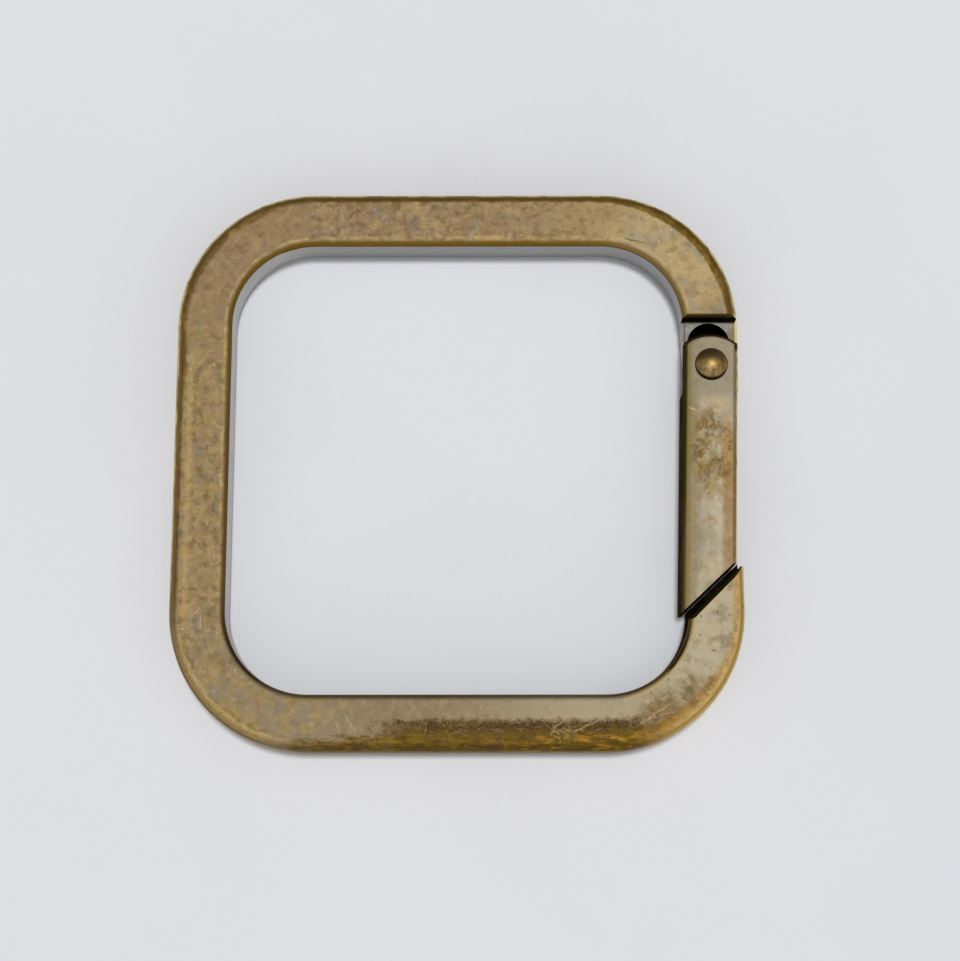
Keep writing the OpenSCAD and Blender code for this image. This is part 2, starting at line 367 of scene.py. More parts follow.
    def level(self, under, over, *masks):
        """As cover, for a number."""
        node = self.add("ShaderNodeMix", data_type="FLOAT")
        self.feed(node.inputs[0], self.product(*masks))
        self.feed(node.inputs[2], under)
        self.feed(node.inputs[3], over)
        return node.outputs[0]

    def surface(self, colour, roughness, metallic, gloss=GLOSS, relief=None, depth=0.0):
        """Ends the tree with a shader, and with a relief of this depth in millimetres."""
        shader = self.add("ShaderNodeBsdfPrincipled")
        self.feed(shader.inputs["Base Color"], colour)
        self.feed(shader.inputs["Roughness"], roughness)
        self.feed(shader.inputs["Metallic"], metallic)
        self.feed(shader.inputs["Specular IOR Level"], gloss)
        if relief is not None:
            bump = self.add("ShaderNodeBump")
            self.feed(bump.inputs["Distance"], depth * MM)
            self.feed(bump.inputs["Height"], relief)
            self.feed(shader.inputs["Normal"], bump.outputs[0])
        output = self.add("ShaderNodeOutputMaterial")
        self.feed(output.inputs["Surface"], shader.outputs[0])
        return self.material


class RingPaint(Paint):
    """Paint of the ring, with the distances, patterns and places that its coats share."""

    def __init__(self):
        super().__init__("ring_brass")

        # Distances from the bar's inner and outer edge, and the outer one made ragged
        beyond = self.vector("SUBTRACT", self.vector("ABSOLUTE", self.at), (STRAIGHT_H, STRAIGHT_H, FAR))
        spread = self.vector("LENGTH", self.vector("MAXIMUM", beyond, (0, 0, 0)))
        self.from_inner = self.math("SUBTRACT", spread, CORNER_R)
        self.from_outer = self.math("SUBTRACT", BAR_W, self.from_inner)
        self.wander = self.sway(0.7, 0.6)
        self.ragged = self.math("ADD", self.from_outer, self.wander)

        # Patterns
        self.clouds = self.noise(1.1, detail=4)
        self.specks = self.noise(0.24, detail=4, roughness=0.75)
        drawn = self.vector("MULTIPLY", self.bent(0.4, 1.0), (0.25, 1, 1))
        self.streaks = self.noise(0.3, detail=4, roughness=0.65, at=drawn)

        # Parts of the ring
        self.upper = self.step(self.y, 4, 9)
        self.left = self.product(self.step(self.x, -10, -16), self.step(self.y, -16, -9))
        self.top_left = self.near((-CORNER_AT, CORNER_AT), 4, 9)
        self.top_right = self.near((CORNER_AT, CORNER_AT), 3, 9)
        self.low_left = self.near((-CORNER_AT, -CORNER_AT), 4, 8)
        self.low_right = self.near((20, -15), 6, 11)
        self.low_bar = self.step(self.y, -17.2, -18.8)
        self.nose_side = self.product(self.step(self.y, -4, -8), self.step(self.x, 14, 20))
        self.beside_nose = self.near((18, -15), 5, 7)
        self.shaded = self.near((18, -14), 7, 9)

        # Inner rounding and wall
        self.inner_side = self.step(self.from_inner, 1.0, 0.8)
        self.inner_wall = self.product(self.step(self.up, 0.25, 0.1), self.inner_side)

        # Bright rim on the outer rounding, above and along the sides: a painted highlight
        rim_end = self.math("MULTIPLY_ADD", self.noise(0.8), 0.3, self.level(0.5, 0.61, self.upper))
        self.rim_highlight = self.product(
            self.step(self.up, 0.2, 0.45),
            self.step(self.math("SUBTRACT", self.up, rim_end), 0.08, -0.08),
            self.step(self.from_outer, 0.8, 0.6),
            self.either(self.upper, self.step(self.y, -14, -6)),
            self.level(0.45, 1.0, self.patches(1.6, 0.36, 0.56)),
        )

        # Step, pocket and slanted end
        self.at_step = self.near((PIVOT.x, STEP_Y), 2.7, 2.9)
        self.pocket = self.product(
            self.band(self.x, PIVOT.x - POCKET_R - 0.1, PIVOT.x + POCKET_R + 0.1, 0.04),
            self.band(self.z, POCKET_FLOOR - 0.2, TONGUE_T - 0.03, 0.02),
            self.band(self.y, PIVOT.y - POCKET_R, STEP_Y + 0.05, 0.02),
        )
        past_line = self.math("SUBTRACT", self.math("SUBTRACT", self.x, self.y), SLANT_LINE)
        self.from_slant = self.math("MULTIPLY", past_line, DIAGONAL)
        self.nose_end = self.product(self.step(self.x, 17, 17.5), self.step(self.y, -5, -6))


class GatePaint(Paint):
    """Paint of the gate, with the distances, patterns and places that its coats share."""

    def __init__(self):
        super().__init__("gate_brass")

        # Distances along and across the leaning gate, from the hinge and from its edges
        self.above = self.math("SUBTRACT", self.y, PIVOT.y)
        lean = self.math("MULTIPLY", self.above, math.tan(GATE_LEAN))
        self.aside = self.math("SUBTRACT", self.math("SUBTRACT", self.x, PIVOT.x), lean)
        self.from_inner = self.math("SUBTRACT", self.aside, GATE_INNER)
        self.from_outer = self.math("SUBTRACT", GATE_OUTER, self.aside)
        self.wander = self.sway(0.8, 0.8)
        self.ragged = self.math("ADD", self.aside, self.wander)
        self.clouds = self.noise(1.1, detail=4)

        # Rim of painted highlight, walls and slanted end, the inner wall and the end in painted shade
        self.rim_highlight = self.product(
            self.step(self.from_outer, 0.28, 0.08),
            self.band(self.up, 0.3, 0.66, 0.1),
            self.step(self.clouds, 0.3, 0.5),
        )
        wall = self.step(self.up, 0.3, 0.1)
        self.inner_wall = self.product(wall, self.step(self.from_outer, 0.38, 0.78))
        self.outer_wall = self.product(wall, self.step(self.from_outer, 0.38, -0.02))
        self.slant = self.faces((DIAGONAL, -DIAGONAL, 0), 0.9, 0.97)


def mottle(p):
    """Worn plating of the ring's face: tan, rose and olive clouds with grey patches."""
    coat = p.cover(TAN, ROSE, p.patches(2.6, 0.38, 0.54, detail=2))
    coat = p.cover(coat, OLIVE_TAN, p.patches(1.8, 0.52, 0.66, detail=2), 0.8)
    coat = p.cover(coat, LIGHT_TAN, p.patches(1.4, 0.5, 0.62, detail=4), 0.85)
    coat = p.cover(coat, DIM_TAN, p.patches(1.2, 0.5, 0.62, detail=4), 0.9)
    return p.cover(coat, LILAC, p.patches(2.0, 0.49, 0.63, detail=2.5, distortion=0.4), 0.8)


def grain(p, coat, amount):
    """Fine light and dark grain over a coat."""
    light = p.patches(0.5, 0.46, 0.74, detail=2)
    dark = p.patches(0.6, 0.46, 0.76)
    coat = p.cover(coat, PALE_GOLD, light, amount, 0.85)
    return p.cover(coat, SPECK, dark, amount, 0.7)


def painted_gap_shade(p):
    """Nearly black painted shade, in dark patina clouds, for the places that little light reaches."""
    return p.cover(SHADE_BROWN, SHADE_BLACK, p.patches(0.7, 0.3, 0.68))


def ring_face(p):
    """Mottled tan, honey in the upper right corner, pale below and beside the gate."""
    coat = mottle(p)
    coat = p.cover(coat, OLIVE_TAN, p.either(p.left, p.low_left), p.step(p.clouds, 0.38, 0.56), 0.55)
    coat = p.cover(coat, ROSE, p.top_left, p.step(p.clouds, 0.36, 0.5), 0.6)
    coat = p.cover(coat, LIGHT_TAN, p.step(p.x, 1, 10), p.step(p.y, 15, 18), 0.6)
    coat = p.cover(coat, LILAC, p.low_left, p.patches(2.2, 0.48, 0.6, detail=2), 0.4)
    grey_olive = p.cover(LILAC, OLIVE_TAN, p.patches(1.8, 0.42, 0.6, detail=2))
    coat = p.cover(coat, grey_olive, p.low_bar, p.step(p.x, 0, -8), 0.7)
    honey = p.cover(HONEY, BEIGE, p.patches(2.0, 0.4, 0.62, detail=1.5), 0.9)
    honey = p.cover(honey, LIGHT_TAN, p.patches(1.3, 0.48, 0.68, detail=2), 0.8)
    honey = p.cover(honey, ROSE, p.patches(1.5, 0.54, 0.7, detail=2), 0.7)
    coat = p.cover(coat, honey, p.top_right)
    pale = p.cover(DULL_BEIGE, BEIGE, p.step(p.x, -3, 12))
    coat = p.cover(coat, pale, p.low_bar, p.step(p.x, -13, -5))
    clouded = p.cover(BEIGE, DULL_BEIGE, p.step(p.clouds, 0.5, 0.7), 0.6)
    coat = p.cover(coat, clouded, p.low_right)
    coat = p.cover(coat, PALE_BEIGE, p.nose_side, p.step(p.clouds, 0.6, 0.45), 0.85)
    smooth = p.either(p.low_right, p.product(p.low_bar, p.step(p.x, -4, 4)))
    amount = p.level(0.85, 0.5, p.either(p.top_left, p.top_right, p.low_bar))
    return grain(p, coat, p.level(amount, 0.35, smooth))


def lower_bar(p, coat):
    """Ragged dark half of the lower bar, with olive streaks along its outer edge."""
    dark_line = p.math("ADD", p.from_inner, p.sway(0.6, 1.2, detail=5, roughness=0.7))
    ragged_x = p.math("ADD", p.x, p.sway(0.9, 8.0, detail=5, roughness=0.7))
    dark_half = p.product(
        p.low_bar,
        p.step(dark_line, 1.8, 2.45),
        p.step(ragged_x, -7.6, -3.0),
        p.step(ragged_x, 20, 13),
    )
    blotches = p.noise(1.2, detail=4, roughness=0.65)
    coat = p.cover(coat, BROWN, dark_half)
    coat = p.cover(coat, DARK_BROWN, dark_half, p.step(p.specks, 0.47, 0.6))
    coat = p.cover(coat, PALE_BROWN, dark_half, p.step(p.streaks, 0.54, 0.66), 0.6)
    coat = p.cover(coat, OLIVE_GOLD, dark_half, p.step(blotches, 0.5, 0.4), 0.6)

    olive_w = p.level(0.8, 1.45, p.step(p.x, -12, -2))
    olive_line = p.math("MULTIPLY_ADD", p.streaks, 2.0, p.math("SUBTRACT", p.ragged, olive_w))
    olive_band = p.product(
        p.low_bar,
        p.step(olive_line, 1.4, 0.7),
        p.step(ragged_x, -16, -11),
        p.step(p.x, 19.5, 17),
    )
    to_right = p.step(p.x, 2, 10)
    coat = p.cover(coat, OLIVE_GOLD, olive_band, 0.9)
    coat = p.cover(coat, ORANGE_GOLD, olive_band, p.step(p.streaks, 0.5, 0.64), p.level(0.4, 1.0, to_right))
    coat = p.cover(coat, DARK_BROWN, olive_band, p.step(p.streaks, 0.47, 0.36), 0.6)
    coat = p.cover(coat, DARK_BROWN, olive_band, p.step(p.specks, 0.56, 0.68), 0.5)
    coat = p.cover(coat, BROWN, olive_band, p.step(blotches, 0.5, 0.62), p.level(0.7, 0.2, to_right))
    coat = p.cover(coat, DULL_OLIVE, olive_band, p.step(blotches, 0.44, 0.34), p.step(p.x, 8, 0), 0.4)

    seam = p.product(dark_half, p.band(dark_line, 2.0, 2.4, 0.1), p.step(p.specks, 0.5, 0.6))
    coat = p.cover(coat, DARK_WALL, seam, 0.45)
    rubbed_at = p.either(p.near((8.4, -21.8), 0.6, 1.6), p.near((16.5, -20.4), 0.6, 2.0))
    rubbed = p.product(rubbed_at, p.step(p.clouds, 0.34, 0.46))
    coat = p.cover(coat, GOLD, rubbed, p.strokes(0.4, 1.0, 0.07, 0.8), 0.45)
    return p.cover(coat, PALE_GOLD, rubbed, p.strokes(0.55, 0.9, 0.06, 0.6), 0.6)


def lower_right(p, coat):
    """Brown patch, broken scratches and a golden edge that runs up beside the gate."""
    patch_at = p.either(p.near((16.8, -20.6), 0.8, 2.8), p.near((19.3, -18.7), 0.3, 2.0))
    patch = p.product(patch_at, p.patches(0.9, 0.34, 0.52))
    coat = p.cover(coat, PALE_BROWN, patch, 0.75)
    coat = p.cover(coat, BROWN, patch, p.step(p.clouds, 0.44, 0.62), 0.45)
    coat = p.cover(coat, PALE_GOLD, patch, p.strokes(0.5, 0.9, 0.06, 0.7), 0.6)
    broken = p.step(p.specks, 0.4, 0.54)
    for place, angle, length, strength in BUNDLES:
        coat = p.cover(coat, PALE_GOLD, p.mark(place, angle, length, BUNDLE_WIDTH), broken, strength)

    corner_edge = p.product(p.near((19, -20.5), 3, 6), p.step(p.ragged, 1.6, 0.9))
    coat = p.cover(coat, AMBER, corner_edge, 0.85)
    coat = p.cover(coat, GOLD, corner_edge, p.step(p.specks, 0.54, 0.66), 0.4)
    coat = p.cover(coat, STRIP_BROWN, corner_edge, p.step(p.clouds, 0.42, 0.58), 0.7)
    side_edge = p.product(p.nose_side, p.step(p.ragged, 1.3, 0.7))
    side_coat = p.cover(TAN_GOLD, SALMON, p.step(p.clouds, 0.45, 0.55))
    coat = p.cover(coat, side_coat, side_edge, 0.85)
    coat = p.cover(coat, BRIGHT_GOLD, p.nose_side, p.step(p.ragged, 0.8, 0.45), 0.8)
    coat = p.cover(coat, GOLD, side_edge, p.step(p.specks, 0.5, 0.64), 0.6)
    shoulder = p.product(p.band(p.up, 0.72, 0.84, 0.05), p.step(p.from_outer, 0.7, 0.5))
    return p.cover(coat, OLIVE, p.nose_side, shoulder, 0.6)


def lower_left(p, coat):
    """Golden edge of the lower left corner, behind a brown line."""
    gold_band = p.product(p.low_left, p.step(p.ragged, 1.15, 0.7))
    coat = p.cover(coat, GOLD, gold_band, 0.5)
    coat = p.cover(coat, PALE_GOLD, gold_band, p.step(p.specks, 0.5, 0.64), 0.6)
    coat = p.cover(coat, SPECK, gold_band, p.step(p.specks, 0.48, 0.36), 0.5)
    brown_line = p.product(p.low_left, p.band(p.ragged, 0.95, 1.1, 0.2))
    coat = p.cover(coat, BROWN, brown_line, p.step(p.clouds, 0.44, 0.56), 0.7)
    return p.cover(coat, OLIVE_GOLD, p.low_left, p.step(p.from_outer, 0.3, 0.1), 0.7)


def outer_strip(p, coat):
    """Dark strip along the outer edge above and on the left, widest in the upper corners: painted shade
    over the outer rounding, in patina clouds.
    """
    wide = p.either(p.top_right, p.near((-CORNER_AT, CORNER_AT), 2, 7))
    strip_w = p.level(p.level(0.62, 0.8, p.upper), 1.05, wide)
    strip_line = p.math("SUBTRACT", p.math("MULTIPLY_ADD", p.wander, 0.6, p.from_outer), strip_w)
    strip = p.product(p.step(strip_line, p.level(0.12, 0.26, p.left), -0.12), p.either(p.upper, p.left))
    strip_coat = p.cover(STRIP_BROWN, DARK_GOLD, p.step(p.clouds, 0.5, 0.64), 0.5)
    strip_coat = p.cover(strip_coat, TAN_GOLD, p.patches(1.4, 0.54, 0.7), p.left, 0.6)
    olive_coat = p.cover(DEEP_OLIVE, DARK_GOLD, p.step(p.clouds, 0.45, 0.6))
    strip_coat = p.cover(strip_coat, olive_coat, p.top_right, 0.8)
    rounded = p.cover(TAN_GOLD, OLIVE, p.top_right)
    strip_coat = p.cover(strip_coat, rounded, p.step(p.up, 0.98, 0.86), 0.6)
    coat = p.cover(coat, GOLD, p.left, p.step(p.y, 12, 6), p.band(p.ragged, 1.1, 1.5, 0.25), 0.35)
    # Dark strip: painted shade along the outer rounding
    return p.cover(coat, strip_coat, strip, p.level(0.95, 0.85, p.left))


def single_scratches(p, coat, rows):
    """The listed scratches over a coat."""
    for colour, place, angle, length, width, strength in rows:
        coat = p.cover(coat, colour, p.mark(place, angle, length, width), strength)
    return coat


def ring_scratches(p, coat):
    """Flecks of bright metal, single scratches, and dark pits at the lower right."""
    flecked = p.product(p.patches(2.2, 0.46, 0.58), p.step(p.from_outer, 0.5, 0.9), p.step(p.up, 0.8, 0.95))
    coat = p.cover(coat, CREAM, flecked, p.strokes(0.9, 0.26, 0.1, 0.35), p.level(0.55, 0.3, p.low_bar))
    coat = p.cover(coat, PALE_GOLD, flecked, p.strokes(0.62, 0.8, 0.07, 0.4), p.level(0.6, 0.35, p.low_bar))
    coat = single_scratches(p, coat, RING_SCRATCHES)
    return p.cover(coat, SPECK, p.low_right, p.strokes(1.3, 0.35, 0.14, 0.4), 0.8)


def outer_edge(p, coat):
    """Outer wall with patina in clouds, and the golden rim above it, a painted highlight."""
    wall = p.product(p.step(p.up, 0.3, 0.12), p.step(p.from_outer, 0.5, 0.3))
    patina = p.cover(TAN_GOLD, STRIP_BROWN, p.patches(2.4, 0.32, 0.72), 0.7)
    patina = p.cover(patina, LIGHT_TAN, p.patches(1.4, 0.5, 0.76), 0.4)
    patina = p.cover(patina, DARK_BROWN, p.step(p.specks, 0.52, 0.74), 0.3)
    coat = p.cover(coat, patina, wall, p.level(0.85, 0.4, p.low_bar))
    # Pale rim along the outer rounding: painted highlight
    return p.cover(coat, RIM_HIGHLIGHT, p.rim_highlight)


def inner_edge(p, coat):
    """Golden line of painted highlight, dark rounding of painted shade over patina and thin brown line
    along the inner edge, and the wall below, grey with painted reflection and dark with painted shade
    beside the nose.
    """
    shiny = p.either(p.step(p.y, -14, -7), p.near((18, -16), 3, 6))
    along_top = p.product(p.step(p.y, 15, 18), p.step(p.x, -15, -11))
    line_at = p.level(p.level(0.5, 0.66, along_top), 0.42, p.beside_nose)
    from_line = p.math("SUBTRACT", p.math("MULTIPLY_ADD", p.wander, 0.5, p.from_inner), line_at)
    broken_line = p.product(shiny, p.band(from_line, -0.1, 0.1, 0.16), p.patches(1.0, 0.4, 0.64, detail=4))
    whole_line = p.band(from_line, -0.1, 0.1, 0.2)
    # Golden line along the inner edge: painted highlight
    coat = p.cover(coat, GOLD, p.level(broken_line, whole_line, p.beside_nose), 0.7)

    # Rounding in a colour for each side: painted shade over patina, thinner in patches higher up
    rounding = p.cover(DARK_BROWN, DARK_GOLD, p.left)
    rounding = p.cover(rounding, OLIVE, p.step(p.y, 2, 8))
    rounding = p.cover(rounding, TAN_GOLD, p.top_right, 0.6)
    rounding = p.cover(rounding, OLIVE_GOLD, p.beside_nose, 0.8)
    crest = p.level(0.94, 0.985, along_top)
    trough = p.level(0.7, 0.82, along_top)
    worn = p.level(1.0, 0.55, p.patches(1.3, 0.5, 0.62), p.step(p.up, 0.7, 0.85))
    under = p.product(p.low_bar, p.step(p.x, 15, 11))
    coat = p.cover(coat, rounding, p.step(p.up, crest, trough), p.inner_side, p.level(worn, 0.6, under))
    coat = p.cover(coat, RED_BROWN, p.step(p.up, 0.45, 0.3), p.inner_side)

    # Wall: grey, paler on the left, as painted reflection of the floor; beside the nose, painted shade in
    # patina clouds
    wall = p.cover(WALL_GREY, PALE_WALL, p.left)
    wall = p.cover(wall, DULL_BEIGE, p.patches(2.4, 0.42, 0.76), 0.35)
    shade_and_patina = p.cover(DARK_WALL, DARK_BROWN, p.patches(1.6, 0.42, 0.76), 0.6)
    wall = p.cover(wall, shade_and_patina, p.shaded)
    return p.cover(coat, wall, p.inner_wall)


def hinge_plate(p, coat):
    """Grey plate under the ear with lines along its edges, and the dark edge of the step."""
    plate_at = p.product(
        p.step(p.z, TONGUE_T + 0.06, TONGUE_T + 0.03),
        p.step(p.x, 18, 18.5),
        p.step(p.y, 5.5, 6),
        p.step(p.up, 0.7, 0.9),
    )
    plate = p.cover(PLATE_GREY, PALE_WALL, p.step(p.y, 11.5, 11.9), p.patches(0.9, 0.42, 0.56), 0.5)
    plate = p.cover(plate, DIM_TAN, p.patches(0.8, 0.5, 0.64, detail=4), 0.6)
    plate = p.cover(plate, WALL_GREY, p.step(p.x, PLATE_IN_X + 0.01, PLATE_IN_X - 0.04))
    plate = p.cover(plate, DARK_OLIVE, p.band(p.x, PLATE_IN_X, PLATE_IN_X + 0.1, 0.04), 0.8)
    plate = p.cover(plate, OLIVE, p.band(p.x, PLATE_OUT_X - 0.12, PLATE_OUT_X, 0.04), 0.8)
    # Pale line along the plate's outer edge: painted highlight
    plate = p.cover(plate, RIM_HIGHLIGHT, p.step(p.x, PLATE_OUT_X, PLATE_OUT_X + 0.06), 0.8)
    coat = p.cover(coat, grain(p, plate, 0.3), plate_at)
    step_top = p.step(p.z, STEP_EDGE_Z, STEP_EDGE_Z + 0.1)
    step_edge = p.product(p.at_step, step_top, p.faces((0, -1, 0), 0.12, 0.6))
    return p.cover(coat, DARK_BROWN, step_edge)


def nose_bevel(p, coat):
    """Brown bevel of the slanted end, with a golden line behind it."""
    line = p.product(p.nose_end, p.band(p.from_slant, 0.28, 0.45, 0.08), p.step(p.up, 0.9, 0.97))
    coat = p.cover(coat, GOLD, line, p.patches(0.8, 0.38, 0.58), 0.6)
    return p.cover(coat, DARK_OLIVE, p.nose_end, p.faces((-0.5, 0.5, DIAGONAL), 0.9, 0.97))


def ring_paint():
    p = RingPaint()
    coat = ring_face(p)
    for paint_over in (
        lower_bar,
        lower_right,
        lower_left,
        outer_strip,
        ring_scratches,
        outer_edge,
        inner_edge,
        hinge_plate,
        nose_bevel,
    ):
        coat = paint_over(p, coat)
    # Painted shade: the pocket, the step wall and the nose's slanted end get a nearly black coat, dull and
    # not metal
    step_wall = p.product(p.faces((0, -1, 0), 0.75, 0.95), p.at_step)
    slant = p.product(p.nose_end, p.step(p.from_slant, 0.06, 0.03))
    dark = p.either(slant, p.pocket, step_wall)
    coat = p.cover(coat, p.cover(painted_gap_shade(p), SHADE_BLACK, p.pocket), dark)
    dull = p.either(dark, p.product(p.inner_wall, p.shaded))
    roughness = p.level(p.level(RING_ROUGH, WALL_ROUGH, p.inner_wall), DULL_ROUGH, dull)
    # The rim of painted highlight is mostly not metal, so its pale colour shows as a bright line
    metallic = p.level(p.level(1.0, RIM_METAL, p.rim_highlight), 0.0, dull)
    relief = p.math("ADD", p.noise(0.25, detail=4), p.noise(1.5))
    return p.surface(coat, roughness, metallic, p.level(GLOSS, 0.0, dull), relief, RING_RELIEF)


def gate_face(p):
    """Pale in the middle, greyer on the left and round the rivet, salmon along the right."""
    drawn = p.vector("MULTIPLY", p.at, (1, 0.45, 1))
    coat = p.cover(PALE_BEIGE, GATE_GREY, p.patches(1.5, 0.44, 0.7, detail=2, at=drawn), 0.8)
    coat = p.cover(coat, DULL_BEIGE, p.step(p.ragged, -0.5, -1.4), 0.85)
    coat = p.cover(coat, OLIVE_TAN, p.patches(1.4, 0.5, 0.7, detail=2), p.step(p.ragged, 0.2, -0.8), 0.5)
    coat = p.cover(coat, GATE_GREY, p.step(p.math("ADD", p.above, p.wander), -3.6, -2.2), 0.8)
    coat = p.cover(coat, PLATE_GREY, p.patches(1.2, 0.5, 0.66, detail=2, at=drawn), 0.4)
    coat = p.cover(coat, ROSE, p.patches(1.5, 0.52, 0.7, detail=2), 0.4)
    below_rivet = p.near((PIVOT.x + 0.8, PIVOT.y - 3.8), 0.4, 1.8)
    coat = p.cover(coat, HONEY, below_rivet, p.step(p.clouds, 0.42, 0.6), 0.6)
    salmon = p.product(p.step(p.ragged, 0.8, 1.35), p.step(p.above, -4, -7))
    coat = p.cover(coat, SALMON, salmon, p.level(0.9, 0.6, p.step(p.clouds, 0.5, 0.6)))
    coat = p.cover(coat, TAN_GOLD, salmon, p.patches(0.7, 0.54, 0.68), 0.5)
    return grain(p, coat, 0.4)


def gate_smudge(p, coat):
    """Worn brown smudge in the middle."""
    from_middle = p.vector("SUBTRACT", p.at, (PIVOT.x - 0.1, 0.95, 0))
    oval = p.vector("LENGTH", p.vector("MULTIPLY", from_middle, (1.5, 0.7, 0)))
    smudge = p.step(oval, 3.2, 2.0)
    curls = p.band(p.noise(1.4, detail=2.5, distortion=1.0), 0.44, 0.54, 0.06)
    coat = p.cover(coat, OLIVE_TAN, smudge, p.patches(0.9, 0.38, 0.56), 0.75)
    coat = p.cover(coat, OLIVE_TAN, p.near((19.9, 3.4), 0.4, 1.6), p.step(p.clouds, 0.4, 0.55), 0.8)
    coat = p.cover(coat, TAN_GOLD, smudge, p.step(p.aside, 0.6, 1.6), 0.7)
    coat = p.cover(coat, PALE_BROWN, smudge, p.patches(1.1, 0.5, 0.6), 0.6)
    coat = p.cover(coat, BROWN, smudge, curls, p.step(p.clouds, 0.38, 0.56), 0.65)
    return p.cover(coat, DARK_GOLD, smudge, p.patches(0.7, 0.54, 0.66, detail=4), 0.6)


def gate_scratches(p, coat):
    """Single scratches, and short ones strewn in patches."""
    coat = single_scratches(p, coat, GATE_SCRATCHES)
    return p.cover(coat, PALE_GOLD, p.patches(2.0, 0.45, 0.55), p.strokes(0.9, 0.5, 0.08, 0.3), 0.6)


def gate_edges(p, coat):
    """Painted shade on the inner edge behind an olive line, rim of painted highlight outside, painted shade
    round the ear, and the walls, the inner one and the slanted end in painted shade.
    """
    # Dark inner edge, browner towards the free end: painted shade over patina
    edge = p.cover(DARK_OLIVE, BROWN, p.step(p.above, -10, -16))
    coat = p.cover(coat, DULL_OLIVE, p.step(p.from_inner, 0.61, 0.21), 0.8)
    coat = p.cover(coat, edge, p.step(p.from_inner, 0.18, 0))
    coat = p.cover(coat, OLIVE, p.band(p.from_outer, 0, 0.14, 0.06), 0.5)
    # Pale rim along the outer edge: painted highlight
    coat = p.cover(coat, RIM_HIGHLIGHT, p.rim_highlight)
    # Brown on the ear's rounded edge: painted shade
    coat = p.cover(coat, DARK_BROWN, p.step(p.up, 0.985, 0.93), p.step(p.above, 1.0, 1.4))
    # Dark inner wall in patina clouds: painted shade
    inner_coat = p.cover(GATE_WALL, BROWN, p.patches(1.6, 0.4, 0.76), 0.5)
    coat = p.cover(coat, inner_coat, p.inner_wall)
    outer_coat = p.cover(BROWN, TAN_GOLD, p.patches(2.2, 0.3, 0.7), 0.7)
    coat = p.cover(coat, outer_coat, p.outer_wall)
    # Painted shade on the slanted end's bevel and on the end itself
    coat = p.cover(coat, DARK_WALL, p.faces((0.5, -0.5, DIAGONAL), 0.9, 0.97))
    return p.cover(coat, painted_gap_shade(p), p.slant)


def gate_paint():
    p = GatePaint()
    coat = gate_face(p)
    for paint_over in (gate_smudge, gate_scratches, gate_edges):
        coat = paint_over(p, coat)
    # The painted shade on the inner wall and the slanted end is dull and not metal
    dark = p.either(p.slant, p.inner_wall)
    roughness = p.level(GATE_ROUGH, DULL_ROUGH, dark)
    metallic = p.level(p.level(1.0, RIM_METAL, p.rim_highlight), 0.0, dark)
    specks = p.noise(0.24, detail=4, roughness=0.75)
    relief = p.math("ADD", p.noise(0.25, detail=4), p.math("MULTIPLY", specks, 0.5))
    return p.surface(coat, roughness, metallic, p.level(GLOSS, 0.0, dark), relief, GATE_RELIEF)


def rivet_paint():
    """Dome browner above and pale gold below, painted shade and painted light, with a black rim of painted
    shade.
    """
    p = Paint("rivet_brass")
    above = p.math("SUBTRACT", p.y, PIVOT.y)
    # Browner above: painted shade
    coat = p.cover(TAN_GOLD, BROWN, p.step(p.math("ADD", above, p.noise(0.5)), 0.3, 1.1), 0.8)
    coat = p.cover(coat, OLIVE_GOLD, p.patches(0.5, 0.48, 0.64, detail=4), 0.6)
    # Pale gold on the lower side: painted light
    coat = p.cover(coat, PALE_GOLD, p.step(above, 0.2, -0.5), p.patches(0.4, 0.42, 0.6, detail=4), 0.8)
    coat = p.cover(coat, SPECK, p.patches(0.3, 0.52, 0.7), 0.5)
    coat = p.cover(coat, BROWN, p.mark((PIVOT.x + 0.05, PIVOT.y - 0.7), 88, 1.0, 0.4), 0.4)
    # Black rim, wider below: painted shade round the dome's foot
    wider_below = p.math("MULTIPLY_ADD", above, -0.14, p.reach((PIVOT.x, PIVOT.y)))
    coat = p.cover(coat, SHADE_BLACK, p.step(wider_below, 1.26, 1.42), 0.95)
    return p.surface(coat, RIVET_ROUGH, 1.0, relief=p.noise(0.15, detail=4), depth=RIVET_RELIEF)


def spring_paint():
    p = Paint("spring_steel")
    coat = p.cover(STEEL, DARK_STEEL, p.patches(0.4, 0.45, 0.65))
    return p.surface(coat, WIRE_ROUGH, 1.0, relief=p.noise(0.08), depth=WIRE_RELIEF)


def floor_paint():
    p = Paint("pale_floor")
    coat = p.cover(FLOOR_PALE, FLOOR_SHADE, p.patches(FLOOR_CLOUD, 0.4, 0.6))
    return p.surface(coat, DULL_ROUGH, 0.0)


def spring_line():
    """Centre line of the spring: leg along the pocket, clockwise coil that rises, leg into the gate."""
    low, high = (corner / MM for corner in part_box("torsion_spring"))
    coil_r = PIVOT.x - low.x - WIRE_R
    coil_low = low.z + WIRE_R
    coil_high = high.z - WIRE_R
    turned = 2 * math.pi * SPRING_TURNS + GATE_LEAN
    steps = SPRING_TURNS * STEPS_PER_TURN
    line = [Vector((coil_r, high.y - PIVOT.y, coil_low))]
    for i in range(steps + 1):
        share = i / steps
        angle = -turned * share
        height = coil_low + (coil_high - coil_low) * share
        line.append(Vector((coil_r * math.cos(angle), coil_r * math.sin(angle), height)))
    last_leg = Vector((-math.sin(GATE_LEAN), -math.cos(GATE_LEAN), 0))
    end_drop = line[-1].y - (low.y - PIVOT.y)
    line.append(line[-1] + last_leg * (end_drop / math.cos(GATE_LEAN)))
    foot = Vector((PIVOT.x, PIVOT.y, 0))
    return [foot + point for point in line], coil_low, coil_high


